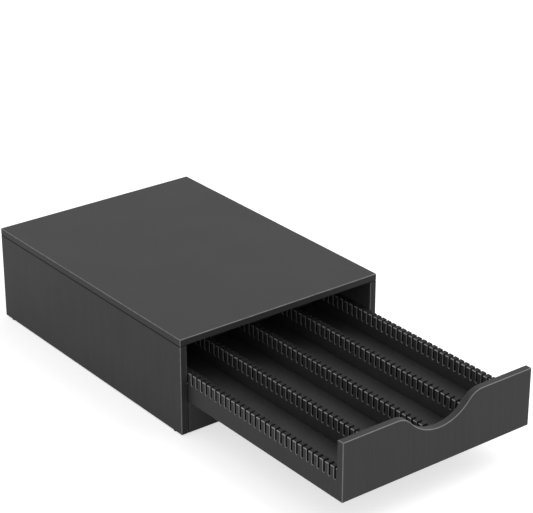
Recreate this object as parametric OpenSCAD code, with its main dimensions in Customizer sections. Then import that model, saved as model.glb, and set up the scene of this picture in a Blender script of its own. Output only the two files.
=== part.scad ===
/* [Cabinet] */
// Width over the two side panels
cabinet_w = 288; // [270:1:330]
// Depth from the front edges to the outer face of the back panel
cabinet_d = 393; // [340:1:430]
// Height of the boards, without the pads under them
cabinet_h = 122; // [116:1:140]
// Thickness of the top, side, back and deck boards and of the rail
board_t = 9; // [8:0.5:12]
// Height of the front rail, whose top is level with the deck
rail_h = 40; // [32:1:44]
// Chamfer that eases the edges of the boards
edge_ease = 0.8; // [0.4:0.1:1.2]

/* [Drawer] */
// How far the drawer is drawn out
drawer_out = 272; // [120:1:276]
// How much further it can come before it meets its stops
stop_slack = 8; // [4:1:16]
// Thickness of the front panel
front_t = 9; // [8:0.5:12]
// Thickness of the back board
back_t = 9; // [8:0.5:12]
// Thickness of the slotted sides and dividers
comb_t = 9; // [8:0.5:11]
// Height of the slotted sides over the drawer's lower edge
comb_h = 37; // [33:1:42]
// Gap between the drawer and the side panel on each side
side_gap = 1.2; // [0.8:0.1:2]
// Gap between the front panel and the top board
head_gap = 1.1; // [0.8:0.1:2]
// Running gap between the drawer and the deck
run_gap = 0.3; // [0.2:0.1:0.6]
// Gap between the closed drawer and the back panel
rear_gap = 2; // [1.5:0.1:4]

/* [Slots] */
// Distance from one slot to the next
slot_pitch = 9; // [7:0.5:12]
// Width of a slot
slot_w = 3.2; // [2.4:0.1:4]
// Depth of a slot below the top of its board
slot_depth = 13.9; // [10:0.1:16]
// Distance from the front panel to the middle of the first slot
slot_first = 3.8; // [3:0.1:6]
// Chamfer that eases the edges of the slots
slot_ease = 0.5; // [0.3:0.1:0.8]

/* [Finger scoop] */
// Depth of the scoop below the top of the front panel
scoop_depth = 27.5; // [24:0.5:31]
// Half the width of the scoop with its shoulders, at the top edge
scoop_half_w = 60.5; // [57:0.5:66]
// Radius of the scoop's bowl
scoop_r = 55; // [48:1:60]

/* [Drawer base] */
// Thickness of the thin sheet that closes the drawer below
base_t = 3; // [2.5:0.1:4]
// Height of the sheet's underside over the drawer's lower edge
base_up = 4.7; // [4.5:0.1:6]
// Depth of the groove that holds the sheet
groove_depth = 4; // [3:0.5:4.5]

/* [Fasteners] */
// Diameter of the wooden dowels
dowel_d = 5; // [4:0.5:6]
// Length of a dowel in the face of a board
dowel_in_face = 6; // [4:0.5:6.5]
// Length of a dowel in the edge of a board
dowel_in_edge = 17; // [12:1:20]
// Diameter of the wood screws
screw_d = 3; // [2.5:0.1:3.5]
// Length of the wood screws
screw_l = 24; // [18:1:28]
// Diameter of the screw heads
screw_head_d = 6; // [5.2:0.1:7]
// Diameter of the stop pins under the drawer
stop_d = 6; // [5:0.5:8]
// Height of the stop pins over the deck
stop_up = 3.4; // [2.5:0.1:3.8]
// Diameter of the heads of the stop pins
stop_head_d = 12; // [10:0.5:14]
// Thickness of the heads of the stop pins
stop_head_h = 2; // [1.5:0.1:3]

/* [Pads] */
// Diameter of the pads under the side panels
pad_d = 8; // [6:0.5:8.5]
// Thickness of the pads under the side panels
pad_h = 1.5; // [1:0.1:3]
// Distance from the ends of a side panel to the middle of its pads
pad_inset = 16; // [8:1:40]
// Diameter of the bumpers behind the drawer
bumper_d = 10; // [8:0.5:14]

/* [Hidden] */

// Overrun of every cut beyond the face that it opens
cut = 1;
// Play around a dowel, a screw or a stop pin in its hole
hole_play = 0.05;
// Room left at the end of a hole, and between parts that stop against each other
end_play = 0.3;
// Play around the thin sheet in its groove
groove_play = 0.2;
// Chamfer at the ends of a dowel
dowel_chamfer = 0.8;
// Facets of small bores and pins when they are drawn
round_fn = 48;
// Facets of the scoop's wide curves when they are drawn
bowl_fn = 192;

// Where the joints sit along the boards, as shares of the length between the ends
top_dowel_shares = [0.08, 0.5, 0.92];
deck_dowel_shares = [0.12, 0.5, 0.88];
rail_dowel_shares = [0.3, 0.7];
back_dowel_shares = [0.3, 0.8];
stop_share = 0.22;
bumper_share = 0.4;
bumper_height_share = 0.7;

// Levels above the table
board_z = pad_h;
deck_top = board_z + rail_h;
top_under = board_z + cabinet_h - board_t;
drawer_z = deck_top + run_gap;
front_h = top_under - head_gap - drawer_z;
comb_top = drawer_z + comb_h;
base_top = drawer_z + base_up + base_t;
slot_floor = comb_top - slot_depth;
joint_z = (base_top + slot_floor) / 2;

// Lengths along the drawer's way, with the whole part centred on the origin
front_y = (drawer_out - cabinet_d) / 2;
back_y = front_y + cabinet_d;
drawer_y = front_y - drawer_out;
drawer_len = cabinet_d - board_t - rear_gap;
comb_len = drawer_len - front_t - back_t;
comb_y = drawer_y + front_t;
comb_end_y = comb_y + comb_len;
travel = drawer_out + stop_slack;
stop_y = front_y + drawer_len - travel - back_t - end_play - stop_d / 2;

// Widths, counted from the middle
inner_w = cabinet_w - 2 * board_t;
drawer_w = inner_w - 2 * side_gap;
comb_count = 5;
comb_step = (drawer_w - comb_t) / (comb_count - 1);
function comb_x(i) = -drawer_w / 2 + i * comb_step;
base_w = drawer_w - 2 * comb_t + 2 * (groove_depth - groove_play);
base_l = comb_len + 2 * (groove_depth - groove_play);

// The slots fill each comb at one pitch and leave a whole tooth at its back
slot_count = floor((comb_len - slot_first - slot_pitch / 2) / slot_pitch) + 1;

// The scoop's bowl and its shoulders touch on the lines between their centres, which share 0 to 1 spans
bowl_up = scoop_r - scoop_depth;
centres_apart = (pow(scoop_half_w, 2) + pow(scoop_depth, 2)) / (2 * scoop_depth);
shoulder_r = centres_apart - scoop_r;
sector_share = 3;
function on_centre_line(side, share) = [side * share * scoop_half_w, bowl_up - share * (bowl_up + shoulder_r)];

// Which corners of an outline are eased
all_eased = [edge_ease, edge_ease, edge_ease, edge_ease];
none_eased = [0, 0, 0, 0];
front_eased = [edge_ease, edge_ease, 0, 0];

// The corner p of an outline, cut off by e along the two edges that meet there
function corner(p, along_in, along_out, e) = e > 0 ? [p + e * along_in, p + e * along_out] : [p];

function eased_points(size, ease) = concat(
    corner([0, 0], [0, 1], [1, 0], ease[0]),
    corner([size.x, 0], [-1, 0], [0, 1], ease[1]),
    corner([size.x, size.y], [0, -1], [-1, 0], ease[2]),
    corner([0, size.y], [1, 0], [0, -1], ease[3])
);

// A board with one corner at the origin; each list eases the four edges that run along one axis
module board(size, along_x = all_eased, along_y = all_eased, along_z = all_eased) {
    intersection() {
        linear_extrude(height = size.z)
            polygon(eased_points([size.x, size.y], along_z));
        translate([0, size.y, 0])
            rotate([90, 0, 0])
                linear_extrude(height = size.y)
                    polygon(eased_points([size.x, size.z], along_y));
        rotate([90, 0, 90])
            linear_extrude(height = size.x)
                polygon(eased_points([size.y, size.z], along_x));
    }
}

// A fluteless dowel: -Z lies in a board's face, +Z in the other board's edge
module dowel() {
    rotate_extrude($fn = round_fn)
        polygon([
            [0, -dowel_in_face],
            [dowel_d / 2 - dowel_chamfer, -dowel_in_face],
            [dowel_d / 2, dowel_chamfer - dowel_in_face],
            [dowel_d / 2, dowel_in_edge - dowel_chamfer],
            [dowel_d / 2 - dowel_chamfer, dowel_in_edge],
            [0, dowel_in_edge]
        ]);
}

module dowel_hole() {
    translate([0, 0, -dowel_in_face - end_play])
        cylinder(
            h = dowel_in_face + dowel_in_edge + 2 * end_play,
            r = dowel_d / 2 + hole_play,
            $fn = round_fn
        );
}

// Places children at both side panels, turned so that +Z runs into the board between them
module at_both_sides() {
    for (side = [-1, 1])
        translate([side * inner_w / 2, 0, 0])
            rotate([0, -side * 90, 0])
                children();
}

module top_dowel_places() {
    for (side = [-1, 1])
        for (share = top_dowel_shares)
            translate([side * (cabinet_w - board_t) / 2, front_y + share * cabinet_d, top_under])
                rotate([180, 0, 0])
                    children();
}

module rail_dowel_places() {
    for (share = rail_dowel_shares)
        translate([0, front_y + board_t / 2, board_z + share * rail_h])
            at_both_sides()
                children();
}

module deck_dowel_places() {
    for (share = deck_dowel_shares)
        translate([0, front_y + share * cabinet_d, deck_top - board_t / 2])
            at_both_sides()
                children();
}

module back_dowel_places() {
    for (share = back_dowel_shares)
        translate([0, back_y - board_t / 2, board_z + share * (cabinet_h - board_t)])
            at_both_sides()
                children();
}

// One place at the middle of each comb's front end, with +Z running into the comb
module comb_front_places() {
    for (i = [0 : comb_count - 1])
        translate([comb_x(i) + comb_t / 2, comb_y, joint_z])
            rotate([-90, 0, 0])
                children();
}

// One place behind the back board for each comb, with -Z running into the board
module comb_back_places() {
    for (i = [0 : comb_count - 1])
        translate([comb_x(i) + comb_t / 2, comb_end_y + back_t, joint_z])
            rotate([-90, 0, 0])
                children();
}

module stop_places() {
    for (side = [-1, 1])
        translate([side * stop_share * drawer_w, stop_y, deck_top])
            children();
}

// A stop pin with its head under the deck; its top stands over the deck
module stop_pin() {
    rotate_extrude($fn = round_fn)
        polygon([
            [0, -board_t - stop_head_h],
            [stop_head_d / 2 - stop_head_h / 2, -board_t - stop_head_h],
            [stop_head_d / 2, -board_t - stop_head_h / 2],
            [stop_head_d / 2, -board_t],
            [stop_d / 2, -board_t],
            [stop_d / 2, stop_up - edge_ease],
            [stop_d / 2 - edge_ease, stop_up],
            [0, stop_up]
        ]);
}

// Depth of the cone that takes a screw's head, and length of its point
head_depth = (screw_head_d - screw_d) / 2;
point_len = screw_d;
recess_len = screw_head_d / 2;
recess_w = screw_head_d / 6;
recess_depth = head_depth / 2;

// A countersunk wood screw, its head flush at the origin and its point along -Z
module wood_screw() {
    difference() {
        rotate_extrude($fn = round_fn)
            polygon([
                [0, 0],
                [screw_head_d / 2, 0],
                [screw_d / 2, -head_depth],
                [screw_d / 2, point_len - screw_l],
                [0, -screw_l]
            ]);
        for (turn = [0, 90])
            rotate([0, 0, turn])
                translate([-recess_len / 2, -recess_w / 2, -recess_depth])
                    cube([recess_len, recess_w, recess_depth + cut]);
    }
}

module screw_hole() {
    translate([0, 0, -screw_l - end_play])
        cylinder(h = screw_l + end_play + cut, r = screw_d / 2 + hole_play, $fn = round_fn);
    translate([0, 0, -head_depth])
        cylinder(
            h = head_depth + hole_play,
            r1 = screw_d / 2 + hole_play,
            r2 = screw_head_d / 2 + 2 * hole_play,
            $fn = round_fn
        );
}

module top_board() {
    color("#464646")
        difference() {
            translate([-cabinet_w / 2, front_y, top_under])
                board([cabinet_w, cabinet_d, board_t]);
            top_dowel_places() dowel_hole();
        }
}

module side_panel(side) {
    color("#434343")
        difference() {
            translate([side * (cabinet_w - board_t) / 2 - board_t / 2, front_y, board_z])
                board([board_t, cabinet_d, cabinet_h - board_t]);
            top_dowel_places() dowel_hole();
            rail_dowel_places() dowel_hole();
            deck_dowel_places() dowel_hole();
            back_dowel_places() dowel_hole();
        }
}

module left_side_panel() {
    side_panel(-1);
}

module right_side_panel() {
    side_panel(1);
}

module back_panel() {
    color("#3e3e3e")
        difference() {
            translate([-inner_w / 2, back_y - board_t, board_z])
                board([inner_w, board_t, cabinet_h - board_t]);
            back_dowel_places() dowel_hole();
        }
}

module deck_board() {
    color("#3a3a3a")
        difference() {
            translate([-inner_w / 2, front_y + board_t, deck_top - board_t])
                board(
                    [inner_w, cabinet_d - 2 * board_t, board_t],
                    along_x = none_eased, along_y = none_eased, along_z = none_eased
                );
            deck_dowel_places() dowel_hole();
            stop_places()
                translate([0, 0, -board_t - cut])
                    cylinder(h = board_t + 2 * cut, r = stop_d / 2 + hole_play, $fn = round_fn);
        }
}

module front_rail() {
    color("#303030")
        difference() {
            translate([-inner_w / 2, front_y, board_z])
                board([inner_w, board_t, rail_h], along_x = front_eased);
            rail_dowel_places() dowel_hole();
        }
}

module top_dowels() {
    color("burlywood")
        top_dowel_places() dowel();
}

module rail_dowels() {
    color("burlywood")
        rail_dowel_places() dowel();
}

module deck_dowels() {
    color("burlywood")
        deck_dowel_places() dowel();
}

module back_panel_dowels() {
    color("burlywood")
        back_dowel_places() dowel();
}

module drawer_stops() {
    color("#1c1c1c")
        stop_places() stop_pin();
}

module foot_pads() {
    color("#202020")
        for (side = [-1, 1], y = [front_y + pad_inset, back_y - pad_inset])
            translate([side * (cabinet_w - board_t) / 2, y, 0])
                cylinder(h = pad_h, d = pad_d, $fn = round_fn);
}

// Half the section of a cut through a board of thickness t, as [distance from the middle, depth];
// the cut widens by flare at both faces, or narrows where flare is negative
function flared_half(t, half_w, flare) = [
    [half_w + flare + sign(flare) * cut, -cut],
    [half_w, abs(flare)],
    [half_w, t - abs(flare)],
    [half_w + flare + sign(flare) * cut, t + cut]
];

// A round plug of radius r through a board of thickness t, from the board's face at the origin along +Z
module flared_plug(t, r, flare, sides) {
    rotate_extrude($fn = sides)
        polygon(concat([[0, -cut]], flared_half(t, r, flare), [[0, t + cut]]));
}

// Slots with round floors and eased edges, cut down into a comb that lies along Y from the origin
module slot_row(height) {
    side = flared_half(comb_t, slot_w / 2, slot_ease);
    for (i = [0 : slot_count - 1])
        translate([0, slot_first + i * slot_pitch, height - slot_depth + slot_w / 2]) {
            rotate([0, 90, 0])
                flared_plug(comb_t, slot_w / 2, slot_ease, round_fn);
            linear_extrude(height = slot_depth)
                polygon([
                    for (p = side) [p.y, p.x],
                    for (k = [len(side) - 1 : -1 : 0]) [side[k].y, -side[k].x]
                ]);
        }
}

// A slotted board of a given height whose top is level with the others
module comb(i, height) {
    translate([comb_x(i), comb_y, comb_top - height])
        difference() {
            board([comb_t, comb_len, height], along_x = none_eased, along_z = none_eased);
            slot_row(height);
        }
}

// The groove for the thin sheet, as a solid to cut away
module base_groove() {
    translate([-base_w / 2 - groove_play, comb_y - groove_depth, drawer_z + base_up])
        cube([base_w + 2 * groove_play, comb_len + 2 * groove_depth, base_t + groove_play]);
}

module drawer_side(i) {
    color("#424242")
        difference() {
            comb(i, comb_h);
            base_groove();
            comb_front_places() dowel_hole();
            comb_back_places() screw_hole();
        }
}

module divider(i) {
    color("#3c3c3c")
        difference() {
            comb(i, comb_top - base_top);
            comb_front_places() dowel_hole();
            comb_back_places() screw_hole();
        }
}

module drawer_left_side() {
    drawer_side(0);
}

module left_divider() {
    divider(1);
}

module middle_divider() {
    divider(2);
}

module right_divider() {
    divider(3);
}

module drawer_right_side() {
    drawer_side(comb_count - 1);
}

// The bowl of the scoop through a panel of thickness t, between the planes where the shoulders take over
module bowl_cut(t) {
    intersection() {
        translate([0, bowl_up, 0])
            flared_plug(t, scoop_r, edge_ease, bowl_fn);
        translate([0, 0, -cut / 2])
            linear_extrude(height = t + cut)
                polygon([on_centre_line(-1, sector_share), on_centre_line(1, 0), on_centre_line(1, sector_share)]);
    }
}

// What a rounded shoulder takes off, between the line of the centres and the top edge
module shoulder_cut(t, side) {
    difference() {
        translate([0, 0, -cut / 2])
            linear_extrude(height = t + cut)
                polygon([on_centre_line(side, 0), on_centre_line(side, 1), [side * scoop_half_w, cut]]);
        translate([side * scoop_half_w, -shoulder_r, 0])
            flared_plug(t, shoulder_r, -edge_ease, bowl_fn);
    }
}

// The scoop through a panel of thickness t, seen from the front, with the top edge's middle at the origin.
// The bowl widens and the shoulders narrow towards both faces, so the easing follows the whole curve
module scoop(t) {
    translate([0, t, 0])
        rotate([90, 0, 0]) {
            bowl_cut(t);
            for (side = [-1, 1])
                shoulder_cut(t, side);
        }
}

module drawer_front() {
    color("#424242")
        difference() {
            translate([-drawer_w / 2, drawer_y, drawer_z])
                board([drawer_w, front_t, front_h], along_z = front_eased);
            translate([0, drawer_y, drawer_z + front_h])
                scoop(front_t);
            base_groove();
            comb_front_places() dowel_hole();
        }
}

module drawer_back() {
    color("#3c3c3c")
        difference() {
            translate([-drawer_w / 2, comb_end_y, drawer_z])
                board([drawer_w, back_t, front_h]);
            base_groove();
            comb_back_places() screw_hole();
        }
}

module drawer_base() {
    color("#333333")
        translate([-base_w / 2, comb_y - groove_depth + groove_play, drawer_z + base_up])
            cube([base_w, base_l, base_t]);
}

module drawer_front_dowels() {
    color("burlywood")
        comb_front_places() dowel();
}

module drawer_back_screws() {
    color("silver")
        comb_back_places() wood_screw();
}

module drawer_bumpers() {
    bumper_z = drawer_z + bumper_height_share * front_h;
    color("#202020")
        for (side = [-1, 1])
            translate([side * bumper_share * drawer_w, comb_end_y + back_t, bumper_z])
                rotate([-90, 0, 0])
                    cylinder(h = rear_gap - end_play, d = bumper_d, $fn = round_fn);
}

top_board();
left_side_panel();
right_side_panel();
back_panel();
deck_board();
front_rail();
top_dowels();
rail_dowels();
deck_dowels();
back_panel_dowels();
drawer_stops();
foot_pads();
drawer_front();
drawer_left_side();
left_divider();
middle_divider();
right_divider();
drawer_right_side();
drawer_back();
drawer_base();
drawer_front_dowels();
drawer_back_screws();
drawer_bumpers();
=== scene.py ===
import logging
import math
from abc import ABC, abstractmethod
from collections.abc import Callable, Iterable
from dataclasses import dataclass
from enum import Enum, Flag, auto
from typing import ClassVar

import bmesh
import bpy
from mathutils import Matrix, Vector


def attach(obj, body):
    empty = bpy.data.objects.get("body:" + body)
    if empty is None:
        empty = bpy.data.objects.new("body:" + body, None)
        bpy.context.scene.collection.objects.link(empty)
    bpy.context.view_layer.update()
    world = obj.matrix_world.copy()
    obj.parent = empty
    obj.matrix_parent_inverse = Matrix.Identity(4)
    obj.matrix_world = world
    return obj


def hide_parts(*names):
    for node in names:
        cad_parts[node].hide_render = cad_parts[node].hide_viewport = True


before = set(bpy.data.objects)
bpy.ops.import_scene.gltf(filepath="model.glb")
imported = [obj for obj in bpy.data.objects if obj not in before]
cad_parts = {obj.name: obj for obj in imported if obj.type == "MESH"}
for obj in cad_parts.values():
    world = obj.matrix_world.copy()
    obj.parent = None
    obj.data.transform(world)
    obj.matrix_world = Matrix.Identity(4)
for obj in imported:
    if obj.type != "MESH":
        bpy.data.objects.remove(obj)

# A low cabinet in black-foiled board with a drawer of slotted boards.
# Lengths are in metres, +Y runs to the cabinet's back and +Z up, as in the frame.

LOG = logging.getLogger("pod_drawer")
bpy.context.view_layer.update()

Socket = bpy.types.NodeSocket
Value = Socket | float
Colour = tuple[float, float, float]
Span = tuple[float, float]
Profile = list[tuple[float, float]]
MM = 0.001
# Corners of a CAD mesh that are closer than this are one
SAME_CORNER = 0.001 * MM
# Small pieces are put in order by this many digits of their places
PLACE_DIGITS = 5
# Edges of the small pieces that turn more than this stay sharp
CREASE = math.radians(35)
# A face leans along an axis where that part of its normal is larger
LEANING = 0.3
# A face looks along an axis where that part of its normal is larger
FACING = 0.93
# How far a face leans off an axis where an eased edge starts to show, and where it shows in full
SLANTING: Span = (0.36, 0.62)
# Half the width of the scoop in the drawer's front, less half a millimetre
SCOOP_HALF = 60.0 * MM
# Most of a noise lies in this span
MOST: Span = (0.3, 0.7)
# The sockets of the colour mix
MIX_FIRST, MIX_SECOND, MIX_RESULT = 6, 7, 2


class Axis(Enum):
    """An axis of the frame."""

    X = 0
    Y = 1
    Z = 2


class Grain(Enum):
    """The way a board's grain runs, as how fast its streaks change along each axis."""

    ACROSS = (0.016, 1.0, 1.0)
    DEEP = (1.0, 0.016, 1.0)
    UPRIGHT = (1.0, 1.0, 0.016)


class EdgeRule(Enum):
    """Which slanting faces of a board are its eased edges."""

    ANY = "every face that leans half way between two axes"
    SLOTTED = "every face that leans half way to X, so not the slots' round floors"
    SCOOPED = "every face that leans half way to Y, and beside the scoop those between two axes"


class CutFaces(Enum):
    """Which faces of a board are its cut edges, which get painted shade."""

    ENDS = "the faces that look to the front or back"
    AROUND = "every face that doesn't look along X, with the walls and floors of the slots"


class Joint(Flag):
    """Which eased edges of a board lie in a joint with the next board, where painted shade keeps them dark.
    """

    NONE = 0
    ABOVE = auto()
    BELOW = auto()
    ENDS = auto()


@dataclass(frozen=True)
class Texture:
    """How fine a noise is.

    Attributes:
        scale: How many times it changes in a metre.
        detail: How many finer layers it has.
        strength: How strong each finer layer is beside the one before.
    """

    scale: float
    detail: float = 3.0
    strength: float = 0.6


@dataclass(frozen=True)
class Relief:
    """How far a texture presses into the surface.

    Attributes:
        depth: Its depth in metres.
        strength: How much of it shows.
    """

    depth: float
    strength: float


def shifted(span: Span, offset: float) -> Span:
    """Returns a span with both its ends moved by an offset."""
    return offset + span[0], offset + span[1]


def span_of(node: str, axis: Axis) -> Span:
    """Finds where a CAD node starts and ends along an axis.

    Args:
        node: The node's name.
        axis: The axis.

    Returns:
        The lowest and the highest place.
    """
    reach = [vert.co[axis.value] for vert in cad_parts[node].data.vertices]
    return min(reach), max(reach)


class Graph:
    """One material's nodes, made in the order in which they are read."""

    def __init__(self, name: str) -> None:
        """Starts a material with an empty tree, a shader and an output.

        Args:
            name: The material's name.
        """
        self.material = bpy.data.materials.new(name)
        self.material.use_nodes = True
        self.tree = self.material.node_tree
        self.tree.nodes.clear()
        output = self.add("ShaderNodeOutputMaterial")
        self.shader = self.add("ShaderNodeBsdfPrincipled")
        self.feed(output.inputs["Surface"], self.shader.outputs["BSDF"])

    def feed(self, socket: Socket, value: object) -> None:
        """Links a socket to another socket, or sets its value.

        Args:
            socket: The input that is fed.
            value: An output socket, or the value to set.
        """
        if isinstance(value, Socket):
            self.tree.links.new(value, socket)
        else:
            socket.default_value = value

    def shade(self, values: dict[str, object]) -> None:
        """Feeds the shader's inputs.

        Args:
            values: A socket or a value for each input's name.
        """
        for name, value in values.items():
            self.feed(self.shader.inputs[name], value)

    def add(self, kind: str, **settings: object) -> bpy.types.Node:
        """Adds a node.

        Args:
            kind: The node's type name.
            settings: Properties of the node to set.

        Returns:
            The new node.
        """
        node = self.tree.nodes.new(kind)
        for key, value in settings.items():
            setattr(node, key, value)
        return node

    def calc(self, operation: str, *values: Value) -> Socket:
        """Works out one number from others.

        Args:
            operation: The math node's operation.
            values: The sockets or numbers that it takes.

        Returns:
            The result's socket.
        """
        node = self.add("ShaderNodeMath", operation=operation)
        for socket, value in zip(node.inputs, values):
            self.feed(socket, value)
        return node.outputs[0]

    def place(self) -> Socket:
        """Returns the place on the piece, in metres."""
        return self.add("ShaderNodeTexCoord").outputs["Object"]

    def parts(self, vector: Socket) -> list[Socket]:
        """Splits a vector.

        Args:
            vector: The vector.

        Returns:
            Its parts along X, Y and Z.
        """
        node = self.add("ShaderNodeSeparateXYZ")
        self.feed(node.inputs[0], vector)
        return list(node.outputs)

    def lean(self) -> list[Socket]:
        """Returns how far the flat face leans along each axis, with its sign."""
        return self.parts(self.add("ShaderNodeNewGeometry").outputs["True Normal"])

    def stretched(self, vector: Socket, scales: Iterable[float]) -> Socket:
        """Multiplies a place by one scale for each axis.

        Args:
            vector: The place.
            scales: The three scales.

        Returns:
            The scaled place.
        """
        node = self.add("ShaderNodeVectorMath", operation="MULTIPLY")
        self.feed(node.inputs[0], vector)
        self.feed(node.inputs[1], tuple(scales))
        return node.outputs[0]

    def noise(self, vector: Socket, texture: Texture) -> Socket:
        """Makes a noise between 0 and 1.

        Args:
            vector: The place that it is read at.
            texture: How fine it is.

        Returns:
            The noise's socket.
        """
        node = self.add("ShaderNodeTexNoise")
        self.feed(node.inputs["Vector"], vector)
        self.feed(node.inputs["Scale"], texture.scale)
        self.feed(node.inputs["Detail"], texture.detail)
        self.feed(node.inputs["Roughness"], texture.strength)
        return node.outputs["Fac"]

    def ramp(self, value: Value, span: Span, result: Span) -> Socket:
        """Turns one span of a number smoothly into another.

        Args:
            value: The number's socket.
            span: Where the number's span starts and ends.
            result: The result at its start and at its end.

        Returns:
            The result's socket.
        """
        node = self.add("ShaderNodeMapRange", interpolation_type="SMOOTHSTEP")
        for socket, amount in zip(node.inputs, (value, *span, *result)):
            self.feed(socket, amount)
        return node.outputs[0]

    def blend(self, share: Value, first: Socket | Colour, second: Socket | Colour) -> Socket:
        """Mixes two colours.

        Args:
            share: How much of the second there is.
            first: The first colour or socket.
            second: The second colour or socket.

        Returns:
            The mixed colour's socket.
        """
        node = self.add("ShaderNodeMix", data_type="RGBA")
        self.feed(node.inputs[0], share)
        for place, colour in ((MIX_FIRST, first), (MIX_SECOND, second)):
            self.feed(node.inputs[place], (*colour, 1.0) if isinstance(colour, tuple) else colour)
        return node.outputs[MIX_RESULT]

    def scaled(self, colour: Colour, share: Socket) -> Socket:
        """Brightens or darkens a colour by a share that changes over the surface.

        Args:
            colour: The plain colour.
            share: The socket of the share, around 1.

        Returns:
            The colour's socket.
        """
        node = self.add("ShaderNodeVectorMath", operation="SCALE")
        self.feed(node.inputs[0], colour)
        self.feed(node.inputs["Scale"], share)
        return node.outputs[0]

    def bump(self, height: Socket, relief: Relief) -> None:
        """Lets a height press into the surface.

        Args:
            height: The height's socket, from 0 to 1.
            relief: How far a height of 1 presses in.
        """
        node = self.add("ShaderNodeBump")
        self.feed(node.inputs["Height"], height)
        self.feed(node.inputs["Distance"], relief.depth)
        self.feed(node.inputs["Strength"], relief.strength)
        self.shade({"Normal": node.outputs["Normal"]})

    def slanting(self, lean: Socket) -> Socket:
        """Returns a mask that is 1 where a lean is about half way between two axes."""
        return self.ramp(lean, SLANTING, (0.0, 1.0))

    def round_outline(self, part: Socket) -> Socket:
        """Finds the eased edges round an outline, straight or curved, that lies across one axis.

        Args:
            part: How far a face leans along that axis.

        Returns:
            The socket of a mask that is 1 on them.
        """
        across = self.calc("SQRT", self.calc("SUBTRACT", 1.0, self.calc("MULTIPLY", part, part)))
        return self.slanting(self.calc("MINIMUM", part, across))

    def eased_edges(self, rule: EdgeRule = EdgeRule.ANY) -> Socket:
        """Finds the eased edges, whose faces lean about half way between two axes.

        Args:
            rule: Which slanting faces count.

        Returns:
            The socket of a mask that is 1 on the eased edges.
        """
        nx, ny, nz = (self.calc("ABSOLUTE", part) for part in self.lean())
        if rule is EdgeRule.SLOTTED:
            return self.round_outline(nx)
        high = self.calc("MAXIMUM", nx, ny)
        middle = self.calc("MAXIMUM", self.calc("MINIMUM", nx, ny), self.calc("MINIMUM", high, nz))
        mask = self.slanting(middle)
        if rule is EdgeRule.ANY:
            return mask
        off_middle = self.calc("ABSOLUTE", self.parts(self.place())[0])
        beside = self.calc("GREATER_THAN", off_middle, SCOOP_HALF)
        return self.calc("MAXIMUM", self.round_outline(ny), self.calc("MULTIPLY", mask, beside))

    def edged(self, tone: Socket, worn: Colour, share: float) -> Socket:
        """Lets a worn colour show through on the eased edges.

        Args:
            tone: The colour elsewhere.
            worn: The worn colour.
            share: How much of it shows.

        Returns:
            The colour's socket.
        """
        return self.blend(self.calc("MULTIPLY", self.eased_edges(), share), tone, worn)

    def cut_edges(self, cut: CutFaces) -> Socket:
        """Finds the cut edges of a board, which get painted shade.

        Args:
            cut: Which faces they are.

        Returns:
            The socket of a mask that is 1 on them.
        """
        nx, ny, _ = (self.calc("ABSOLUTE", part) for part in self.lean())
        if cut is CutFaces.ENDS:
            return self.calc("GREATER_THAN", ny, FACING)
        return self.calc("LESS_THAN", nx, LEANING)

    def in_joint(self, joint: Joint) -> Socket:
        """Finds the faces that lean into a joint, where painted shade goes.

        Args:
            joint: Which ways the joints lie.

        Returns:
            The socket of a mask that is 1 on them.
        """
        nx, _, nz = self.lean()
        leans = {
            Joint.ABOVE: nz,
            Joint.BELOW: self.calc("MULTIPLY", nz, -1.0),
            Joint.ENDS: self.calc("ABSOLUTE", nx),
        }
        furthest = 0.0
        for part in joint:
            furthest = self.calc("MAXIMUM", leans[part], furthest)
        return self.calc("GREATER_THAN", furthest, LEANING)

    def near_ends(self, span: Span, margin: float) -> Socket:
        """Finds what lies close to a board's two ends along Y.

        Args:
            span: Where the board starts and ends.
            margin: How close that is.

        Returns:
            The socket of a mask that is 1 there.
        """
        low, high = span
        off = self.calc("ABSOLUTE", self.calc("SUBTRACT", self.parts(self.place())[1], (low + high) / 2))
        return self.calc("GREATER_THAN", off, (high - low) / 2 - margin)


@dataclass(frozen=True)
class Finish(ABC):
    """A finish, whose material is made once.

    Attributes:
        name: The material's name.
    """

    name: str

    @property
    def material(self) -> bpy.types.Material:
        """Finds the finish's material, and makes it when it is first asked for.

        Returns:
            The material.
        """
        known = bpy.data.materials.get(self.name)
        if known is not None:
            return known
        graph = Graph(self.name)
        self.paint(graph)
        return graph.material

    @abstractmethod
    def paint(self, graph: Graph) -> None:
        """Adds the finish's nodes to a new material.

        Args:
            graph: The material's nodes.
        """


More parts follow.
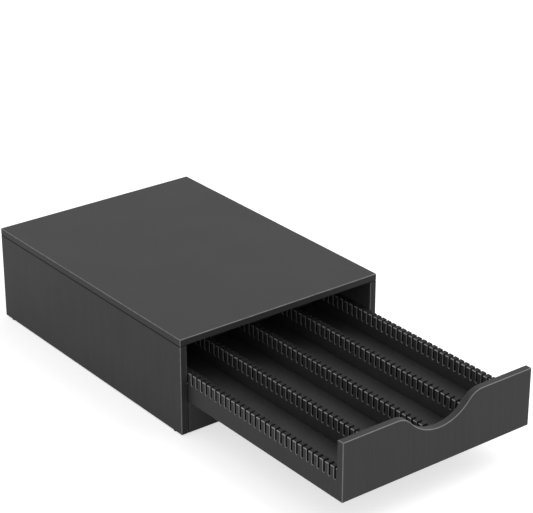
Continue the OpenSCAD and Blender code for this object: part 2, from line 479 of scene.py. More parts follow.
@dataclass(frozen=True)
class BoardFoil(Finish):
    """Black foil with a faint straight grain, with wear and a painted highlight along the eased edges, and
    painted shade in its joints and on its cut faces.

    Attributes:
        grain: The way of the grain.
        edges: Which faces are eased edges.
        tone: The foil's colour.
        streak: How much the streaks change the tone.
        rubbed_highlight: The colour of the eased edges, worn and with a painted highlight.
        rub_and_highlight: How much of that colour shows on the edges.
        even: How evenly it shows, up to 1.
        roughness: How matt the foil is.
        gloss: The shader's specular level.
        joint: Which edges lie in a joint, where painted shade darkens them.
        joint_shade: The colour of the painted shade on those edges.
        joint_shade_depth: How far in from its ends a board's eased edges carry painted shade, if they lie in
            a joint.
        span: Where such a board starts and ends along Y.
        cut_faces: Which faces are cut edges, darkened with painted shade.
        cut_shade: How bright the cut edges are under their painted shade, as a share of the tone.
        streaks: The grain's fine streaks.
        streak_span: The span of them that shows in the tone.
        streak_tone: What they add to the tone, before the share that streak gives.
        streak_matt: What they add to the roughness.
        streak_relief: How high they stand, beside the pores.
        bands: The grain's wide bands.
        band_tone: What they add to the tone, before that share.
        clouds: The soft patches that handling leaves in the gloss.
        cloud_matt: What they add to the roughness.
        highlight_wear: The noise that varies the wear and the painted highlight of the eased edges.
        highlight_wear_span: The span of it over which the edges go from even to full.
        pores: The grain's pores.
        relief: The relief of the pores.
    """

    grain: Grain = Grain.UPRIGHT
    edges: EdgeRule = EdgeRule.ANY
    tone: Colour = (0.0475, 0.0475, 0.048)
    streak: float = 0.17
    # Painted highlight with wear: the lighter colour of the eased edges
    rubbed_highlight: Colour = (0.24, 0.24, 0.243)
    rub_and_highlight: float = 0.8
    even: float = 0.6
    roughness: float = 0.5
    gloss: float = 0.08
    joint: Joint = Joint.NONE
    # Painted shade: the darker colour of the eased edges in a joint
    joint_shade: Colour = (0.014, 0.014, 0.014)
    joint_shade_depth: float = 0.4 * MM
    span: Span | None = None
    cut_faces: CutFaces = CutFaces.ENDS
    # Painted shade: below 1, the cut edges are darkened
    cut_shade: float = 1.0
    streaks: Texture = Texture(520.0, 4.0)
    streak_span: Span = (0.25, 0.75)
    streak_tone: Span = (-0.5, 0.5)
    streak_matt: Span = (-0.02, 0.03)
    streak_relief: float = 0.6
    bands: Texture = Texture(90.0, 2.0)
    band_tone: Span = (-0.13, 0.13)
    clouds: Texture = Texture(14.0)
    cloud_matt: Span = (-0.02, 0.02)
    highlight_wear: Texture = Texture(160.0, 4.0)
    highlight_wear_span: Span = (0.28, 0.62)
    pores: Texture = Texture(2400.0, 2.0)
    relief: Relief = Relief(0.06 * MM, 0.35)

    def paint(self, graph: Graph) -> None:
        """Adds the grain, the eased edges with wear and a painted highlight, the painted shade in the joints
        and on the cut faces, and the foil's fine relief.

        Args:
            graph: The material's nodes.
        """
        place = graph.place()
        along = graph.stretched(place, self.grain.value)
        streaks = graph.noise(along, self.streaks)
        pores = graph.noise(along, self.pores)
        clouds = graph.ramp(graph.noise(place, self.clouds), MOST, self.cloud_matt)
        matt = graph.calc("ADD", clouds, graph.ramp(streaks, MOST, self.streak_matt))
        graph.shade({
            "Base Color": self.colour(graph, place, streaks, graph.noise(along, self.bands)),
            "Roughness": graph.calc("ADD", matt, self.roughness),
            "Specular IOR Level": self.gloss,
        })
        low_streaks = graph.calc("MULTIPLY", streaks, self.streak_relief)
        graph.bump(graph.calc("ADD", pores, low_streaks), self.relief)

    def colour(self, graph: Graph, place: Socket, streaks: Socket, bands: Socket) -> Socket:
        """Makes the foil's colour, with its painted highlights and its painted shade.

        Args:
            graph: The material's nodes.
            place: The place on the piece.
            streaks: The fine streaks of the grain.
            bands: Its wide bands.

        Returns:
            The colour's socket.
        """
        fine = graph.ramp(streaks, self.streak_span, self.streak_tone)
        wide = graph.ramp(bands, MOST, self.band_tone)
        shade = graph.calc("MULTIPLY_ADD", graph.calc("ADD", fine, wide), self.streak, 1.0)
        # Painted shade on the cut edges
        if self.cut_shade < 1.0:
            darker = graph.calc("MULTIPLY", graph.cut_edges(self.cut_faces), 1.0 - self.cut_shade)
            shade = graph.calc("MULTIPLY", shade, graph.calc("SUBTRACT", 1.0, darker))
        # Painted highlight with wear: the eased edges are lightened
        edges = graph.eased_edges(self.edges)
        rub_and_highlight = graph.ramp(graph.noise(place, self.highlight_wear), self.highlight_wear_span, (self.even * self.rub_and_highlight, self.rub_and_highlight))
        foil = graph.scaled(self.tone, shade)
        colour = graph.blend(graph.calc("MULTIPLY", edges, rub_and_highlight), foil, self.rubbed_highlight)
        # Painted shade on the eased edges in a joint, and near a board's ends where it meets the next boards
        if self.joint:
            hidden = graph.calc("MULTIPLY", edges, graph.in_joint(self.joint))
            colour = graph.blend(hidden, colour, self.joint_shade)
        if self.span:
            hidden = graph.calc("MULTIPLY", edges, graph.near_ends(self.span, self.joint_shade_depth))
            colour = graph.blend(hidden, colour, self.joint_shade)
        return colour


@dataclass(frozen=True)
class SlottedFoil(BoardFoil):
    """The foil of a slotted board, with painted shade on its cut faces, and wear and a painted highlight on
    the edges round its slots.
    """

    edges: EdgeRule = EdgeRule.SLOTTED
    # Painted highlight with wear, lighter still round the slots
    rubbed_highlight: Colour = (0.36, 0.36, 0.364)
    rub_and_highlight: float = 1.0
    even: float = 0.8
    span: Span | None = span_of("middle_divider", Axis.Y)
    cut_faces: CutFaces = CutFaces.AROUND
    # Painted shade on the cut faces: the slots' walls and floors and the boards' top and end faces
    cut_shade: float = 0.42


@dataclass(frozen=True)
class PressedSheet(Finish):
    """Matt black pressed sheet, with short fibres that lie both ways.

    Attributes:
        tone: The sheet's colour.
        worn: The colour that shows at its worn edges.
        worn_share: How much of it shows.
        roughness: How matt the sheet is.
        gloss: The shader's specular level.
        fibres: Its fibres.
        fibre_way: How fast a fibre changes along its length.
        fibre_span: The span of the fibres that shows in the tone.
        fibre_tone: What they add to the tone.
        matt_span: The span of the fibres that shows in the roughness.
        fibre_matt: What they add to the roughness.
        patches: Its patches.
        patch_tone: How bright they are, as shares of the tone.
        relief: The relief of the fibres.
    """

    tone: Colour = (0.034, 0.034, 0.035)
    worn: Colour = (0.11, 0.095, 0.08)
    worn_share: float = 0.5
    roughness: float = 0.68
    gloss: float = 0.3
    fibres: Texture = Texture(1300.0)
    fibre_way: float = 0.12
    fibre_span: Span = (0.4, 0.75)
    fibre_tone: Span = (-0.16, 0.2)
    matt_span: Span = (0.3, 0.8)
    fibre_matt: Span = (-0.06, 0.08)
    patches: Texture = Texture(25.0)
    patch_tone: Span = (0.9, 1.1)
    relief: Relief = Relief(0.08 * MM, 0.5)

    def paint(self, graph: Graph) -> None:
        """Adds the fibres, the patches and the worn edges.

        Args:
            graph: The material's nodes.
        """
        place = graph.place()
        one_way = graph.noise(graph.stretched(place, (1.0, self.fibre_way, 1.0)), self.fibres)
        other_way = graph.noise(graph.stretched(place, (self.fibre_way, 1.0, 1.0)), self.fibres)
        fibres = graph.calc("MAXIMUM", one_way, other_way)
        patches = graph.ramp(graph.noise(place, self.patches), MOST, self.patch_tone)
        share = graph.calc("ADD", graph.ramp(fibres, self.fibre_span, self.fibre_tone), patches)
        tone = graph.scaled(self.tone, share)
        graph.shade({
            "Base Color": graph.edged(tone, self.worn, self.worn_share),
            "Roughness": graph.ramp(fibres, self.matt_span, shifted(self.fibre_matt, self.roughness)),
            "Specular IOR Level": self.gloss,
        })
        graph.bump(fibres, self.relief)


@dataclass(frozen=True)
class Beech(Finish):
    """Plain beech, with a straight darker grain and fine flecks in its gloss.

    Attributes:
        tone: The wood's colour.
        dark: The colour of its darker grain.
        worn: The colour of its edges.
        worn_share: How much of it shows.
        grain: The grain.
        grain_way: How fast the grain changes along each axis.
        grain_span: The span of the grain that shows in the tone.
        grain_dark: How much of the darker colour it takes up.
        flecks: The flecks.
        fleck_matt: The roughness that they give.
        relief: The relief of both.
    """

    tone: Colour = (0.62, 0.44, 0.25)
    dark: Colour = (0.42, 0.26, 0.13)
    worn: Colour = (0.7, 0.54, 0.34)
    worn_share: float = 0.3
    grain: Texture = Texture(900.0, 4.0)
    grain_way: tuple[float, float, float] = (0.25, 0.25, 1.0)
    grain_span: Span = (0.38, 0.7)
    grain_dark: Span = (0.0, 0.75)
    flecks: Texture = Texture(2600.0, 2.0)
    fleck_matt: Span = (0.58, 0.7)
    relief: Relief = Relief(0.05 * MM, 0.4)

    def paint(self, graph: Graph) -> None:
        """Adds the grain, the flecks and the paler edges.

        Args:
            graph: The material's nodes.
        """
        place = graph.place()
        grain = graph.noise(graph.stretched(place, self.grain_way), self.grain)
        flecks = graph.noise(place, self.flecks)
        wood = graph.blend(graph.ramp(grain, self.grain_span, self.grain_dark), self.tone, self.dark)
        graph.shade({
            "Base Color": graph.edged(wood, self.worn, self.worn_share),
            "Roughness": graph.ramp(flecks, MOST, self.fleck_matt),
        })
        graph.bump(graph.calc("ADD", grain, flecks), self.relief)


@dataclass(frozen=True)
class ZincSteel(Finish):
    """Zinc plated steel, faintly blotched and rubbed bright on its edges.

    Attributes:
        tone: The metal's colour.
        bright: The colour of its edges.
        bright_share: How much of it shows.
        blotches: The plating's blotches.
        blotch_tone: How bright they are, as shares of the tone.
        blotch_matt: The roughness that they give.
        lines: The fine drawn lines.
        line_way: How fast the lines change along each axis.
        relief: Their relief.
    """

    tone: Colour = (0.55, 0.55, 0.56)
    bright: Colour = (0.72, 0.72, 0.72)
    bright_share: float = 0.5
    blotches: Texture = Texture(900.0)
    blotch_tone: Span = (0.88, 1.06)
    blotch_matt: Span = (0.3, 0.42)
    lines: Texture = Texture(5000.0, 2.0)
    line_way: tuple[float, float, float] = (1.0, 0.05, 1.0)
    relief: Relief = Relief(0.02 * MM, 0.3)

    def paint(self, graph: Graph) -> None:
        """Adds the blotches, the fine drawn lines and the bright edges.

        Args:
            graph: The material's nodes.
        """
        place = graph.place()
        blotches = graph.noise(place, self.blotches)
        lines = graph.noise(graph.stretched(place, self.line_way), self.lines)
        tone = graph.scaled(self.tone, graph.ramp(blotches, MOST, self.blotch_tone))
        graph.shade({
            "Base Color": graph.edged(tone, self.bright, self.bright_share),
            "Metallic": 1.0,
            "Roughness": graph.ramp(blotches, MOST, self.blotch_matt),
        })
        graph.bump(lines, self.relief)


@dataclass(frozen=True)
class Moulded(Finish):
    """A moulded black finish: hard for the stop pins, soft for the pads.

    Attributes:
        tone: Its colour.
        roughness: How matt it is.
        relief: The relief of its moulded texture.
        gloss: The shader's specular level.
        worn: The colour of its edges.
        worn_share: How much of it shows.
        patches: Its patches.
        patch_tone: How bright they are, as shares of the tone.
        specks: Its moulded texture.
        speck_matt: What the texture adds to the roughness.
    """

    tone: Colour
    roughness: float
    relief: Relief
    gloss: float
    worn: Colour = (0.1, 0.1, 0.1)
    worn_share: float = 0.25
    patches: Texture = Texture(260.0)
    patch_tone: Span = (0.88, 1.14)
    specks: Texture = Texture(4200.0, 2.0)
    speck_matt: Span = (-0.06, 0.06)

    def paint(self, graph: Graph) -> None:
        """Adds the patches, the moulded texture and the paler edges.

        Args:
            graph: The material's nodes.
        """
        place = graph.place()
        specks = graph.noise(place, self.specks)
        patches = graph.ramp(graph.noise(place, self.patches), MOST, self.patch_tone)
        tone = graph.scaled(self.tone, patches)
        graph.shade({
            "Base Color": graph.edged(tone, self.worn, self.worn_share),
            "Roughness": graph.ramp(specks, MOST, shifted(self.speck_matt, self.roughness)),
            "Specular IOR Level": self.gloss,
        })
        graph.bump(specks, self.relief)


@dataclass(frozen=True)
class Finishes:
    """The finish of each kind of piece.

    Attributes:
        side: The cabinet's side panels.
        top: Its top board.
        rail: Its front rail.
        back: Its back panel.
        inner: The boards that are mostly hidden: the deck and the drawer's back.
        scooped: The drawer's front.
        drawer_side: The drawer's slotted sides.
        divider: Its dividers.
        sheet: Its base.
        beech: The dowels.
        steel: The screws.
        plastic: The stop pins.
        rubber: The pads and the bumpers.
    """

    # Painted shade darkens the cut edges of the side panels and the top board
    side: Finish = BoardFoil("foil_side", streak=0.21, joint=Joint.ABOVE, cut_shade=0.72)
    top: Finish = BoardFoil("foil_top", Grain.DEEP, streak=0.08, joint=Joint.BELOW, cut_shade=0.68)
    # Painted light: the rail's tone is lighter than the other boards' foil, to offset the shade under the
    # drawer
    rail: Finish = BoardFoil(
        "foil_rail", Grain.ACROSS, tone=(0.058, 0.058, 0.0585), joint=Joint.ENDS
    )
    back: Finish = BoardFoil("foil_back", joint=Joint.ENDS | Joint.ABOVE)
    inner: Finish = BoardFoil("foil_inner", Grain.DEEP)
    scooped: Finish = BoardFoil("foil_scooped", edges=EdgeRule.SCOOPED, streak=0.15, even=0.85)
    drawer_side: Finish = SlottedFoil("foil_drawer_side")
    divider: Finish = SlottedFoil("foil_divider", joint=Joint.BELOW)
    sheet: Finish = PressedSheet("pressed_sheet")
    beech: Finish = Beech("plain_beech")
    steel: Finish = ZincSteel("zinc_steel")
    plastic: Finish = Moulded(
        "moulded_plastic", tone=(0.02, 0.02, 0.02), roughness=0.42, relief=Relief(0.02 * MM, 0.5), gloss=0.45
    )
    rubber: Finish = Moulded(
        "soft_rubber", tone=(0.025, 0.025, 0.025), roughness=0.75, relief=Relief(0.04 * MM, 0.5), gloss=0.3
    )


@dataclass(frozen=True)
class Place:
    """Where one small piece of a node is.

    Attributes:
        middle: The middle of its box.
        size: The sides of its box.
    """

    middle: Vector
    size: Vector

    def length_along(self, axis: Axis) -> float:
        """Returns its length along an axis."""
        return self.size[axis.value]


def places_of(node: str) -> list[Place]:
    """Finds the separate solids of a CAD node.

    Args:
        node: The node's name.

    Returns:
        One place for each solid, in a fixed order.
    """
    shape = bmesh.new()
    shape.from_mesh(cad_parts[node].data)
    bmesh.ops.remove_doubles(shape, verts=shape.verts, dist=SAME_CORNER)
    left = set(shape.verts)
    places = []
    while left:
        grown = {left.pop()}
        front = list(grown)
        while front:
            near = {edge.other_vert(vert) for vert in front for edge in vert.link_edges}
            front = list(near - grown)
            grown |= near
        left -= grown
        low = Vector([min(vert.co[i] for vert in grown) for i in range(3)])
        high = Vector([max(vert.co[i] for vert in grown) for i in range(3)])
        places.append(Place((low + high) / 2, high - low))
    shape.free()
    return sorted(places, key=lambda spot: [round(value, PLACE_DIGITS) for value in spot.middle])


def turned_to(axis: Axis) -> Matrix:
    """Turns +Z to an axis.

    Args:
        axis: The axis that +Z turns to.

    Returns:
        The turn as a 4 by 4 matrix.
    """
    if axis is Axis.X:
        return Matrix.Rotation(math.radians(90), 4, "Y")
    if axis is Axis.Y:
        return Matrix.Rotation(math.radians(-90), 4, "X")
    return Matrix.Identity(4)


def revolved(
    profile: Profile, sides: int, cut: Callable[[float, float, int], float] | None = None
) -> bmesh.types.BMesh:
    """Turns a profile round Z into a closed solid.

    Args:
        profile: Points as (radius, height), from the lower end to the upper one.
        sides: How many steps one turn has.
        cut: Changes a radius, given the radius, the height and the step.

    Returns:
        The solid.
    """
    shape = bmesh.new()
    rings = []
    for radius, height in profile:
        ring = []
        for step in range(sides):
            angle = 2 * math.pi * step / sides
            reach = cut(radius, height, step) if cut else radius
            ring.append(shape.verts.new((reach * math.cos(angle), reach * math.sin(angle), height)))
        rings.append(ring)
    for lower, upper in zip(rings, rings[1:]):
        for step in range(sides):
            after = (step + 1) % sides
            shape.faces.new((lower[step], lower[after], upper[after], upper[step]))
    shape.faces.new(list(reversed(rings[0])))
    shape.faces.new(rings[-1])
    return shape


def arc(middle: tuple[float, float], radius: float, start: float, end: float, steps: int) -> Profile:
    """Makes part of a round profile.

    Args:
        middle: The arc's centre, as (radius, height).
        radius: The arc's radius.
        start: The angle that it starts at, in degrees from straight out.
        end: The angle that it ends at.
        steps: How many steps it has.

    Returns:
        Its points.
    """
    angles = [math.radians(start + (end - start) * i / steps) for i in range(steps + 1)]
    return [(middle[0] + radius * math.cos(a), middle[1] + radius * math.sin(a)) for a in angles]


def linked(name: str, shape: bmesh.types.BMesh) -> bpy.types.Object:
    """Makes an object from a shape, which is freed.

    Args:
        name: The object's name.
        shape: The shape.

    Returns:
        The object, linked to the scene.
    """
    mesh = bpy.data.meshes.new(name)
    shape.to_mesh(mesh)
    shape.free()
    piece = bpy.data.objects.new(name, mesh)
    bpy.context.scene.collection.objects.link(piece)
    return piece


def scattered(name: str, shape: bmesh.types.BMesh, spots: Iterable[Matrix]) -> bpy.types.Object:
    """Puts a copy of one shape at each place, as one object with smooth curves and sharp edges.

    Args:
        name: The object's name.
        shape: The shape, which is freed.
        spots: Where the copies go.

    Returns:
        The new object.
    """
    single = bpy.data.meshes.new(name + "_one")
    shape.to_mesh(single)
    shape.free()
    joined = bmesh.new()
    for spot in spots:
        copy = single.copy()
        copy.transform(spot)
        joined.from_mesh(copy)
        bpy.data.meshes.remove(copy)
    bpy.data.meshes.remove(single)
    piece = linked(name, joined)
    piece.data.shade_smooth()
    piece.data.set_sharp_from_angle(angle=CREASE)
    return piece


def dress(node: str, finish: Finish) -> bpy.types.Object:
    """Gives a CAD node its finish.

    Args:
        node: The node's name.
        finish: The finish.

    Returns:
        The node's object.
    """
    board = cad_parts[node]
    for slot in board.material_slots:
        slot.material = finish.material
    LOG.info("%s: %s", node, finish.name)
    return board


@dataclass(frozen=True)
class Rounding:
    """The last rounding of a board's eased edges.

    Attributes:
        width: How far the rounding reaches in from an edge.
        steps: How many steps it has.
        weld: How close the mesh's corners are when they join.
        flat: Faces that turn less than this become one.
        sharp: Edges that turn more than this are rounded.
    """

    width: float = 0.25 * MM
    steps: int = 2
    weld: float = SAME_CORNER
    flat: float = math.radians(0.5)
    sharp: float = math.radians(30)

    def apply_to(self, board: bpy.types.Object) -> None:
        """Adds the rounding to a board, as modifiers.

        Args:
            board: The board's object.
        """
        self.modify(board, "WELD", merge_threshold=self.weld)
        self.modify(board, "DECIMATE", decimate_type="DISSOLVE", angle_limit=self.flat)
        self.modify(
            board, "BEVEL",
            width=self.width, segments=self.steps, limit_method="ANGLE", angle_limit=self.sharp,
            use_clamp_overlap=True,
        )
        self.modify(board, "WEIGHTED_NORMAL", keep_sharp=False, weight=100)

    def modify(self, board: bpy.types.Object, kind: str, **settings: object) -> None:
        """Adds one modifier.

        Args:
            board: The board's object.
            kind: The modifier's type.
            settings: Properties of the modifier to set.
        """
        modifier = board.modifiers.new(kind.lower(), kind)
        for key, value in settings.items():
            setattr(modifier, key, value)


@dataclass
class Fitting(ABC):
    """Finer pieces that take the place of one node's plain ones.

    Attributes:
        title: What the finer pieces are, before the node's name.
        slot: The name of the pieces' material slot; it is not used.
        node: The node with the plain pieces.
        body: The body that they move with.
        finish: Their finish.
    """

    title: ClassVar[str]
    slot: ClassVar[str]
    node: str
    body: str
    finish: Finish

    @abstractmethod
    def one(self, place: Place) -> bmesh.types.BMesh:
        """Makes one piece round the origin.

        Args:
            place: Where a piece of the node is, for its sizes.

        Returns:
            The piece.
        """

    def turn(self, place: Place) -> Matrix:
        """Turns a piece from the origin to the way it lies.

        Args:
            place: Where a piece of the node is.

        Returns:
            The turn as a 4 by 4 matrix.
        """
        return Matrix.Identity(4)

    def build(self) -> None:
        """Builds the pieces at their places and lets them stand in for the node."""
        places = places_of(self.node)
        spots = [Matrix.Translation(spot.middle) @ self.turn(spot) for spot in places]
        piece = scattered(f"{self.title}_{self.node}", self.one(places[0]), spots)
        piece.data.materials.append(self.finish.material)
        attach(piece, self.body)
        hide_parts(self.node)
        LOG.info("%s: %d faces for %s", piece.name, len(piece.data.polygons), self.node)


@dataclass
class Dowels(Fitting):
    """Fluted dowels.

    Attributes:
        flutes: How many flutes each has.
        flute_depth: How deep a flute is.
        chamfer: How far each end is chamfered.
    """

    title: ClassVar[str] = "fluted"
    slot: ClassVar[str] = "dowel_wood"
    flutes: int = 18
    flute_depth: float = 0.14 * MM
    chamfer: float = 0.5 * MM

    def way(self, place: Place) -> Axis:
        """Returns the axis that a dowel lies along."""
        return max(Axis, key=place.length_along)

    def turn(self, place: Place) -> Matrix:
        """Returns the turn that lays a dowel along its axis."""
        return turned_to(self.way(place))

    def flute(self, radius: float, height: float, step: int) -> float:
        """Returns a radius, taken in at every other step."""
        return radius - self.flute_depth * (step % 2)

    def one(self, place: Place) -> bmesh.types.BMesh:
        """Makes one dowel along Z.

        Args:
            place: Where a dowel is.

        Returns:
            The dowel.
        """
        half = place.length_along(self.way(place)) / 2
        radius = min(place.size) / 2
        ends = [(radius - self.chamfer, -half), (radius, self.chamfer - half)]
        profile = ends + [(reach, -height) for reach, height in reversed(ends)]
        return revolved(profile, 2 * self.flutes, self.flute)


@dataclass
class Screws(Fitting):
    """Threaded wood screws with cross recesses, their heads to the back.

    Attributes:
        shank_r: The radius over the thread.
        core_r: The radius under the thread.
        pitch: From one turn of the thread to the next.
        ridge: Half the width of the thread's ridge, as a share of the pitch.
        plain: How long the head and the plain shank under it are.
        point: How long the point is.
        point_r: The radius of its end.
        point_steps: Where it has its rings, as shares of it from its end.
        taper: How far the head's cone goes down.
        rim: How high the head's rim is.
        recess: How deep the cross goes.
        arm: How far its arms reach, as a share of the head's radius.
        arm_half: Half the width of an arm, as such a share.
        mouth: How much wider it is above the head's face.
        floor: How much of its width is left at its floor, along X and Y.
        sides: How many steps one turn has.
        rows: How many steps one pitch has.
    """

    title: ClassVar[str] = "threaded"
    slot: ClassVar[str] = "screw_steel"
    shank_r: float = 1.5 * MM
    core_r: float = 1.05 * MM
    pitch: float = 1.4 * MM
    ridge: float = 0.3
    plain: float = 5.5 * MM
    point: float = 3.0 * MM
    point_r: float = 0.06 * MM
    point_steps: tuple[float, ...] = (0.25, 0.5, 0.75)
    taper: float = 1.7 * MM
    rim: float = 0.15 * MM
    recess: float = 1.1 * MM
    arm: float = 0.56
    arm_half: float = 0.16
    mouth: float = 1.1
    floor: tuple[float, float] = (0.55, 0.7)
    sides: int = 20
    rows: int = 8

    def turn(self, place: Place) -> Matrix:
        """Returns the turn that lays a screw along Y, with its head's face where it belongs."""
        length = place.length_along(Axis.Y)
        return turned_to(Axis.Y) @ Matrix.Translation((0, 0, length / 2))

    def thread(self, radius: float, height: float, step: int) -> float:
        """Cuts a thread into the part of the screw that is as thick as its shank.

        Args:
            radius: The radius before cutting.
            height: The height on the screw, 0 at the head's face.
            step: The step round the screw.

        Returns:
            The radius after cutting.
        """
        if radius > self.shank_r or height > -self.plain:
            return radius
        turn = (height / self.pitch - step / self.sides) % 1.0
        height_share = max(0.0, 1.0 - abs(turn - 0.5) / self.ridge)
        return radius * (self.core_r + (self.shank_r - self.core_r) * height_share) / self.shank_r

    def cross(self, head_r: float) -> bmesh.types.BMesh:
        """Makes the tapered cross that is sunk into the head.

        Args:
            head_r: The head's radius.

        Returns:
            The cross as a solid.
        """
        arm, half = self.arm * head_r, self.arm_half * head_r
        quarter = [Vector(point) for point in ((half, half), (arm, half), (arm, -half))]
        turns = [Matrix.Rotation(math.radians(-90 * turn), 2) for turn in range(4)]
        outline = [turn @ point for turn in turns for point in quarter]
        solid = bmesh.new()
        left_x, left_y = self.floor
        top = [solid.verts.new((x * self.mouth, y * self.mouth, 2 * self.rim)) for x, y in outline]
        floor = [solid.verts.new((x * left_x, y * left_y, -self.recess)) for x, y in outline]
        solid.faces.new(top)
        solid.faces.new(list(reversed(floor)))
        for i in range(len(outline)):
            j = (i + 1) % len(outline)
            solid.faces.new((top[i], floor[i], floor[j], top[j]))
        bmesh.ops.recalc_face_normals(solid, faces=solid.faces)
        return solid

    def one(self, place: Place) -> bmesh.types.BMesh:
        """Makes one screw with its head's face at the origin and its point along -Z.

        Args:
            place: Where a screw is.

        Returns:
            The screw.
        """
        length = place.length_along(Axis.Y)
        head_r = place.length_along(Axis.X) / 2
        low, high = self.point - length, -self.plain
        count = int((high - low) / self.pitch * self.rows)
        profile = [(self.point_r, -length)]
        profile += [(self.shank_r * share, self.point * share - length) for share in self.point_steps]
        profile += [(self.shank_r, low + (high - low) * i / count) for i in range(count + 1)]
        profile += [(self.shank_r, -self.taper), (head_r, -self.rim), (head_r, 0.0)]
        body = linked("screw_body", revolved(profile, self.sides, self.thread))
        cutter = linked("screw_cross", self.cross(head_r))
        cut = body.modifiers.new("recess", "BOOLEAN")
        cut.operation = "DIFFERENCE"
        cut.solver = "EXACT"
        cut.object = cutter
        shape = bmesh.new()
        shape.from_object(body, bpy.context.evaluated_depsgraph_get())
        for spare in (body, cutter):
            bpy.data.objects.remove(spare)
        return shape


@dataclass
class Pads(Fitting):
    """Soft round pads with a crowned face.

    Attributes:
        axis: The axis that their faces look along.
        outward: 1 where the crowned face looks along the axis, -1 where it looks against it.
        edge: How far the glued face is chamfered.
        corner: The radius of the crowned face's edge, as a share of the height.
        bend: How far that edge turns, in degrees.
        bend_steps: How many steps it has.
        crown: How high the face is crowned, as a share of the height.
        rings: Where the face has its rings, as shares of the radius.
        sides: How many steps one turn has.
    """

    title: ClassVar[str] = "crowned"
    slot: ClassVar[str] = "pad_rubber"
    axis: Axis = Axis.Z
    outward: int = -1
    edge: float = 0.2 * MM
    corner: float = 0.42
    bend: float = 75.0
    bend_steps: int = 6
    crown: float = 0.14
    rings: tuple[float, ...] = (0.6, 0.3, 0.05)
    sides: int = 40

    def turn(self, place: Place) -> Matrix:
        """Returns the turn that lets the crowned face look outward."""
        return turned_to(self.axis) @ Matrix.Scale(self.outward, 4, (0, 0, 1))

    def one(self, place: Place) -> bmesh.types.BMesh:
        """Makes one pad with its crowned face up.

        Args:
            place: Where a pad is.

        Returns:
            The pad.
        """
        height = place.length_along(self.axis)
        radius = max(place.size) / 2
        corner, crown = self.corner * height, self.crown * height
        profile = [(radius - self.edge, -height / 2), (radius, self.edge - height / 2)]
        middle = (radius - corner, height / 2 - crown - corner)
        profile += arc(middle, corner, 0, self.bend, self.bend_steps)
        profile += [(radius * share, height / 2 - crown * share * share) for share in self.rings]
        shape = revolved(profile, self.sides)
        if self.outward < 0:
            bmesh.ops.reverse_faces(shape, faces=shape.faces)
        return shape


@dataclass
class StopPins(Fitting):
    """Push-in stop pins with rounded tips and dished heads under the deck.

    Attributes:
        pin_r: The pins' radius.
        head_h: How thick the heads are.
        dish: How deep the heads are dished.
        bowl: The dish's outline, as shares of the head's radius and of the dish's depth.
        corner: The radius of the heads' lower edge.
        edge: How far their upper edge is chamfered.
        tip: The radius of the tips' edge.
        bend_steps: How many steps each round edge has.
        sides: How many steps one turn has.
    """

    title: ClassVar[str] = "dished"
    slot: ClassVar[str] = "stop_plastic"
    pin_r: float = 3.0 * MM
    head_h: float = 2.0 * MM
    dish: float = 0.5 * MM
    bowl: tuple[Span, ...] = ((0.3, 1.0), (0.62, 0.9), (0.7, 0.0))
    corner: float = 0.9 * MM
    edge: float = 0.15 * MM
    tip: float = 0.8 * MM
    bend_steps: int = 5
    sides: int = 40

    def one(self, place: Place) -> bmesh.types.BMesh:
        """Makes one pin with its tip up.

        Args:
            place: Where a pin is.

        Returns:
            The pin.
        """
        half = place.length_along(Axis.Z) / 2
        head_r = place.length_along(Axis.X) / 2
        under = self.head_h - half
        profile = [(share * head_r, depth * self.dish - half) for share, depth in self.bowl]
        corner, tip = (head_r - self.corner, self.corner - half), (self.pin_r - self.tip, half - self.tip)
        profile += arc(corner, self.corner, -90, 0, self.bend_steps)
        profile += [(head_r, under - self.edge), (head_r - self.edge, under), (self.pin_r, under)]
        profile += arc(tip, self.tip, 0, 90, self.bend_steps)
        return revolved(profile, self.sides)


@dataclass
class Cabinet:
    """The fixed case: top, sides, back, deck and front rail, with what joins them.

    Attributes:
        finishes: The finishes.
        rounding: The rounding of the boards' edges.
        body: The body that it belongs to.
    """

    finishes: Finishes
    rounding: Rounding = Rounding()
    body: str = "cabinet"

    def build(self) -> None:
        """Dresses the boards and builds the small pieces."""
        boards = {
            "top_board": self.finishes.top,
            "left_side_panel": self.finishes.side,
            "right_side_panel": self.finishes.side,
            "back_panel": self.finishes.back,
            "deck_board": self.finishes.inner,
            "front_rail": self.finishes.rail,
        }
        for node, finish in boards.items():
            self.rounding.apply_to(dress(node, finish))
        for node in ("top_dowels", "rail_dowels", "deck_dowels", "back_panel_dowels"):
            Dowels(node, self.body, self.finishes.beech).build()
        StopPins("drawer_stops", self.body, self.finishes.plastic).build()
        Pads("foot_pads", self.body, self.finishes.rubber).build()


@dataclass
class Drawer:
    """The drawer: scooped front, five slotted boards, back, base sheet and what joins them.

    Attributes:
        finishes: The finishes.
        rounding: The rounding of the plain boards' edges.
        slot_rounding: The rounding of the slotted boards' finer edges.
        body: The body that it belongs to.
    """

    finishes: Finishes
    rounding: Rounding = Rounding()
    slot_rounding: Rounding = Rounding(width=0.15 * MM, steps=1)
    body: str = "drawer"

    def build(self) -> None:
        """Dresses the boards and builds the small pieces."""
        plain = {
            "drawer_front": self.finishes.scooped,
            "drawer_back": self.finishes.inner,
            "drawer_base": self.finishes.sheet,
        }
        slotted = {
            "drawer_left_side": self.finishes.drawer_side,
            "left_divider": self.finishes.divider,
            "middle_divider": self.finishes.divider,
            "right_divider": self.finishes.divider,
            "drawer_right_side": self.finishes.drawer_side,
        }
        for node, finish in plain.items():
            self.rounding.apply_to(dress(node, finish))
        for node, finish in slotted.items():
            self.slot_rounding.apply_to(dress(node, finish))
        Dowels("drawer_front_dowels", self.body, self.finishes.beech).build()
        Screws("drawer_back_screws", self.body, self.finishes.steel).build()
        Pads("drawer_bumpers", self.body, self.finishes.rubber, Axis.Y, 1).build()


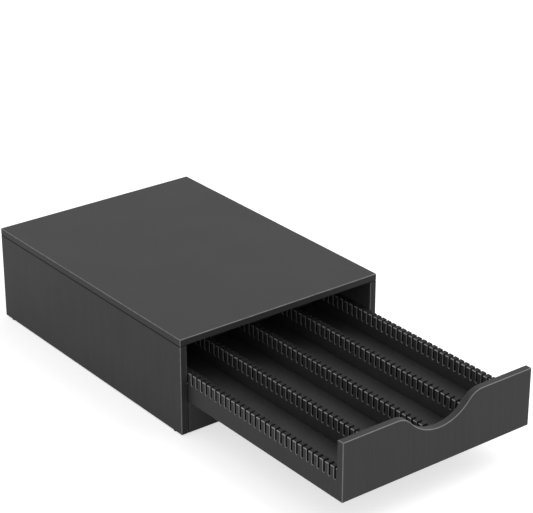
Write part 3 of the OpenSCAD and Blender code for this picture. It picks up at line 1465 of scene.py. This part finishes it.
@dataclass
class Studio:
    """The pale floor, the soft light and the camera.

    Attributes:
        floor_side: The side of the floor.
        floor_tone: The floor's colour for the light that it throws back.
        lift: How much of the floor's white stays in a shadow, for the camera.
        shade: How much of its white the shadows take away.
        dome: How bright the light from all round is.
        lamp_side: The side of the lamp.
        lamp_power: Its power in watts.
        lamp_at: Where it hangs.
        eye: Where the camera stands.
        azimuth: The way it looks, in degrees, 0 along +Y.
        elevation: How far it stands above the horizon, in degrees.
        lens: Its lens, in millimetres.
        sensor: How wide its sensor is, in millimetres.
        sight: How far it sees.
    """

    floor_side: float = 60.0
    floor_tone: float = 0.86
    lift: float = 0.66
    shade: float = 0.6
    dome: float = 0.74
    lamp_side: float = 2.6
    lamp_power: float = 42.0
    lamp_at: tuple[float, float, float] = (1.6, -0.6, 2.3)
    eye: tuple[float, float, float] = (-1.1937, -1.5819, 1.0659)
    azimuth: float = -37.591
    elevation: float = 24.471
    lens: float = 125.77
    sensor: float = 36.0
    sight: float = 200.0

    def seen_directly(self, tree: bpy.types.NodeTree) -> Socket:
        """Finds the rays that see the background itself.

        Args:
            tree: The node tree that asks.

        Returns:
            The socket that is 1 for rays from the camera, off gloss or through glass.
        """
        path = tree.nodes.new("ShaderNodeLightPath")
        found = path.outputs["Is Camera Ray"]
        for name in ("Is Glossy Ray", "Is Transmission Ray"):
            larger = tree.nodes.new("ShaderNodeMath")
            larger.operation = "MAXIMUM"
            tree.links.new(found, larger.inputs[0])
            tree.links.new(path.outputs[name], larger.inputs[1])
            found = larger.outputs[0]
        return found

    def lit(self, tree: bpy.types.NodeTree, kind: str, level: float) -> Socket:
        """Adds a grey shader.

        Args:
            tree: The node tree.
            kind: The shader's type name.
            level: Its brightness.

        Returns:
            The shader's socket.
        """
        node = tree.nodes.new(kind)
        node.inputs["Color"].default_value = (level, level, level, 1)
        return node.outputs[0]

    def chosen(self, tree: bpy.types.NodeTree, light: Socket, seen: Socket) -> Socket:
        """Keeps what lights the object apart from what the camera sees.

        Args:
            tree: The node tree.
            light: The shader that lights the object.
            seen: The shader that is seen directly.

        Returns:
            The mixed shader's socket.
        """
        node = tree.nodes.new("ShaderNodeMixShader")
        for socket, source in zip(node.inputs, (self.seen_directly(tree), light, seen)):
            tree.links.new(source, socket)
        return node.outputs[0]

    def floor(self) -> None:
        """Lays the floor, white where no shadow falls."""
        half = self.floor_side / 2
        shape = bmesh.new()
        corners = ((-half, -half), (half, -half), (half, half), (-half, half))
        shape.faces.new([shape.verts.new((x, y, 0)) for x, y in corners])
        piece = linked("floor", shape)
        material = bpy.data.materials.new("floor_white")
        material.use_nodes = True
        tree = material.node_tree
        tree.nodes.clear()
        both = tree.nodes.new("ShaderNodeAddShader")
        tree.links.new(self.lit(tree, "ShaderNodeBsdfDiffuse", self.shade), both.inputs[0])
        tree.links.new(self.lit(tree, "ShaderNodeEmission", self.lift), both.inputs[1])
        plain = self.lit(tree, "ShaderNodeBsdfDiffuse", self.floor_tone)
        output = tree.nodes.new("ShaderNodeOutputMaterial")
        tree.links.new(self.chosen(tree, plain, both.outputs[0]), output.inputs["Surface"])
        piece.data.materials.append(material)

    def light(self) -> None:
        """Sets the light from all round and one large soft lamp above."""
        world = bpy.data.worlds.new("studio")
        bpy.context.scene.world = world
        world.use_nodes = True
        tree = world.node_tree
        tree.nodes.clear()
        dome = self.lit(tree, "ShaderNodeBackground", self.dome)
        white = self.lit(tree, "ShaderNodeBackground", 1.0)
        output = tree.nodes.new("ShaderNodeOutputWorld")
        tree.links.new(self.chosen(tree, dome, white), output.inputs["Surface"])
        lamp = bpy.data.lights.new("soft_lamp", "AREA")
        lamp.size = self.lamp_side
        lamp.energy = self.lamp_power
        holder = bpy.data.objects.new("soft_lamp", lamp)
        holder.location = self.lamp_at
        holder.rotation_euler = (-Vector(self.lamp_at)).to_track_quat("-Z", "Y").to_euler()
        bpy.context.scene.collection.objects.link(holder)

    def camera(self) -> None:
        """Sets the camera where the photo was taken from."""
        azimuth, elevation = math.radians(self.azimuth), math.radians(self.elevation)
        back = Vector((
            math.sin(azimuth) * math.cos(elevation),
            -math.cos(azimuth) * math.cos(elevation),
            math.sin(elevation),
        ))
        data = bpy.data.cameras.new("view")
        data.sensor_width = self.sensor
        data.lens = self.lens
        data.clip_end = self.sight
        holder = bpy.data.objects.new("view", data)
        holder.location = self.eye
        holder.rotation_mode = "QUATERNION"
        holder.rotation_quaternion = back.to_track_quat("Z", "Y")
        bpy.context.scene.collection.objects.link(holder)
        bpy.context.scene.camera = holder

    def build(self) -> None:
        """Sets the floor, the light, the camera and the plain colours of the picture."""
        self.floor()
        self.light()
        self.camera()
        bpy.context.scene.view_settings.view_transform = "Standard"
        LOG.info("studio: floor, light and camera")


def main() -> None:
    """Builds the scene in order."""
    logging.basicConfig(level=logging.INFO, format="%(name)s %(message)s")
    Studio().build()
    finishes = Finishes()
    Cabinet(finishes).build()
    Drawer(finishes).build()
    bpy.context.view_layer.update()


if __name__ == "__main__":
    main()
